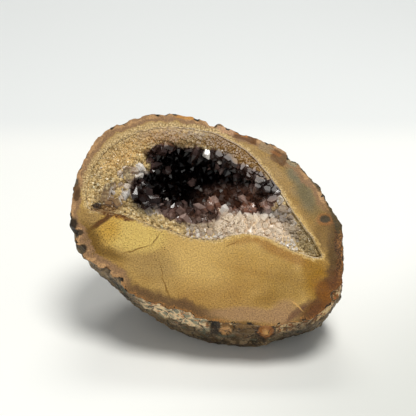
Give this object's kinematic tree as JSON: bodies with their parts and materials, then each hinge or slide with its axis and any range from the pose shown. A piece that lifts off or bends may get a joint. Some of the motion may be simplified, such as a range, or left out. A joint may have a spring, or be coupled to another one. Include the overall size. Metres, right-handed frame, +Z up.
{
  "type": "geode half",
  "caption": "Half of a sawn agate nodule with a lumpy rind, a flat polished cut and an open hollow lined with quartz crystals.",
  "frame": {"origin": "the middle of the object's box, on the surface that it rests on", "axes": "+X along the cut's long axis, to the right seen from the front; +Y to the back; +Z up. The cut leans back 45 degrees and faces -Y and +Z"},
  "size_m": [0.099, 0.076, 0.0748],
  "materials": {
    "agate": "rough brown and grey-green rind; cut face honed, banded tan, ochre, cream and purple-grey",
    "quartz_crystal": "glassy crystal faces, cream to clear at the rim and pale to dark amethyst further in"
  },
  "bodies": {
    "root": {"agate_stone": "agate", "crystal_crust": "quartz_crystal"}
  },
  "joints": []
}
